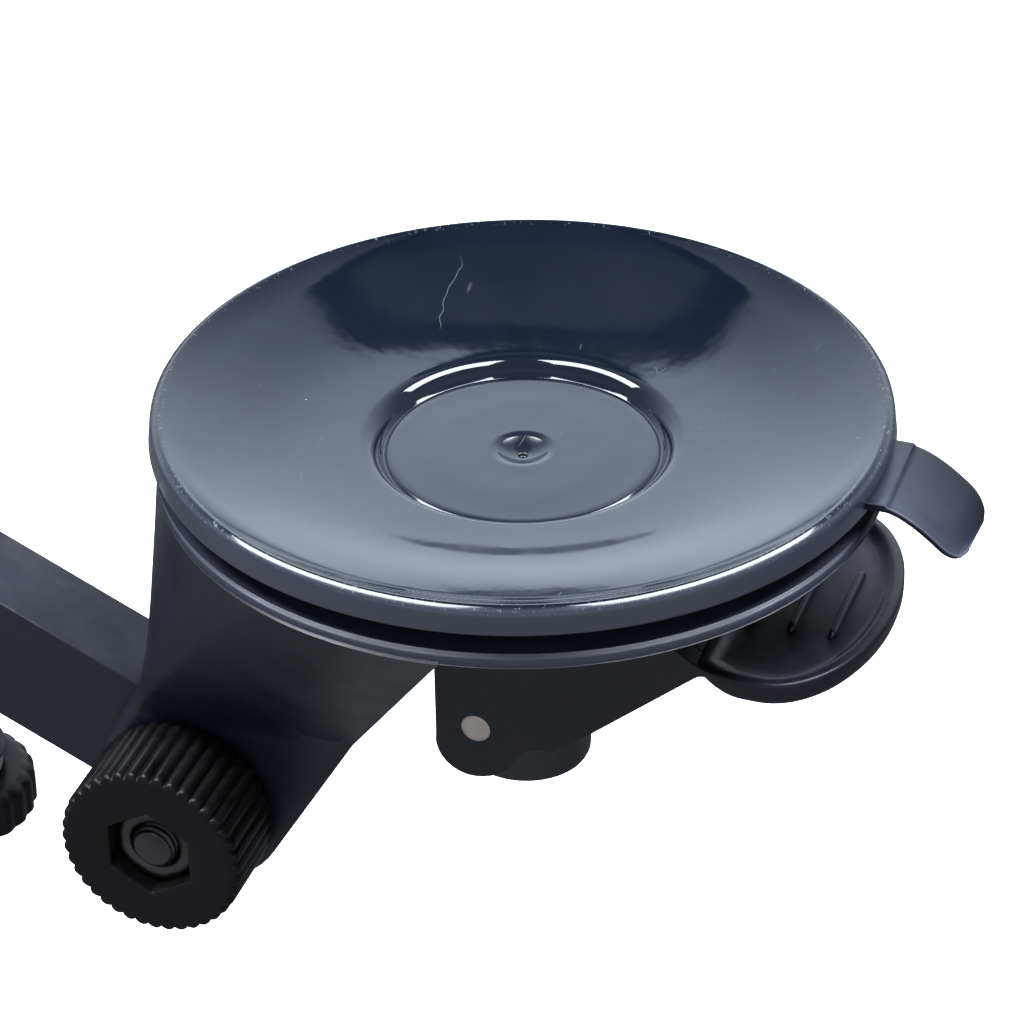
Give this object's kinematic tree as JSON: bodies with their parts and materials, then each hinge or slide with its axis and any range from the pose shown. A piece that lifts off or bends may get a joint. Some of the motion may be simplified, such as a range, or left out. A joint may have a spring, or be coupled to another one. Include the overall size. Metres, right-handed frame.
{
  "type": "dash camera suction mount",
  "caption": "Windscreen suction mount for a dash camera: suction cup with pull tab, cam lever, bracket arm, knurled tilt knob, link and camera screw.",
  "frame": {"origin": "centre of the suction cup's lip, in the plane where it meets the glass", "axes": "+Z out of the cup towards the glass, +X the way the lever points, the bracket arm reaches towards -X and -Z"},
  "size_m": [0.1207, 0.072, 0.072],
  "materials": {
    "cup_rubber": "glossy moulded soft plastic with a wet-looking skin, dark blue-black",
    "shell_plastic": "fine satin moulded black plastic",
    "lever_plastic": "satin black plastic, a little smoother than the shell",
    "knob_plastic": "black moulded plastic with fine ribs",
    "stem_plastic": "dark grey-black moulded plastic",
    "slip_plastic": "natural white low-friction plastic",
    "friction_fibre": "dark friction disc",
    "pin_steel": "plain steel pin, cut ends",
    "fastener_steel": "zinc plated steel",
    "dark_steel": "blackened steel",
    "spring_steel": "spring wire",
    "pad_rubber": "soft black rubber"
  },
  "bodies": {
    "base": {"base_shell": "shell_plastic", "cam_plate": "slip_plastic", "spring_seat": "fastener_steel", "return_spring": "spring_steel", "tilt_bolt": "dark_steel", "near_washer": "fastener_steel", "far_washer": "fastener_steel", "bolt_cap": "knob_plastic"},
    "stem": {"suction_cup": "cup_rubber", "pull_stem": "stem_plastic"},
    "lever": {"lever": "lever_plastic", "lever_pin": "pin_steel"},
    "knob": {"tilt_knob": "knob_plastic", "knob_nut": "dark_steel"},
    "link": {"link_arm": "shell_plastic", "friction_discs": "friction_fibre"},
    "swivel": {"swivel_post": "stem_plastic", "swivel_washer": "slip_plastic", "cap_washer": "fastener_steel", "swivel_screw": "fastener_steel", "camera_stud": "fastener_steel"},
    "thumb_nut": {"thumb_nut": "knob_plastic", "camera_pad": "pad_rubber"}
  },
  "joints": [
    {"name": "stem_slide", "type": "slide", "parent": "base", "child": "stem", "axis": [0, 0, 1], "range_m": [0, 0.0026], "deforming": ["return_spring"]},
    {"name": "lever_turn", "type": "hinge", "parent": "stem", "child": "lever", "pos_m": [0, 0, -0.0288], "axis": [0, 1, 0], "range_deg": [0, 90]},
    {"name": "link_tilt", "type": "hinge", "parent": "base", "child": "link", "pos_m": [-0.0344, 0, -0.05], "axis": [0, -1, 0], "range_deg": [0, 120]},
    {"name": "knob_turn", "type": "hinge", "parent": "base", "child": "knob", "pos_m": [-0.0344, -0.0137, -0.05], "axis": [0, -1, 0], "range_deg": [0, 360]},
    {"name": "camera_swivel", "type": "hinge", "parent": "link", "child": "swivel", "pos_m": [-0.0663, 0, -0.045], "axis": [0, 0, 1], "continuous": true},
    {"name": "thumb_nut_turn", "type": "hinge", "parent": "swivel", "child": "thumb_nut", "pos_m": [-0.0663, 0, -0.062], "axis": [0, 0, 1], "range_deg": [0, 360]}
  ],
  "couplings": [
    {"joint": "lever_turn", "follows": "stem_slide", "rad_per_m": 604.15}
  ]
}
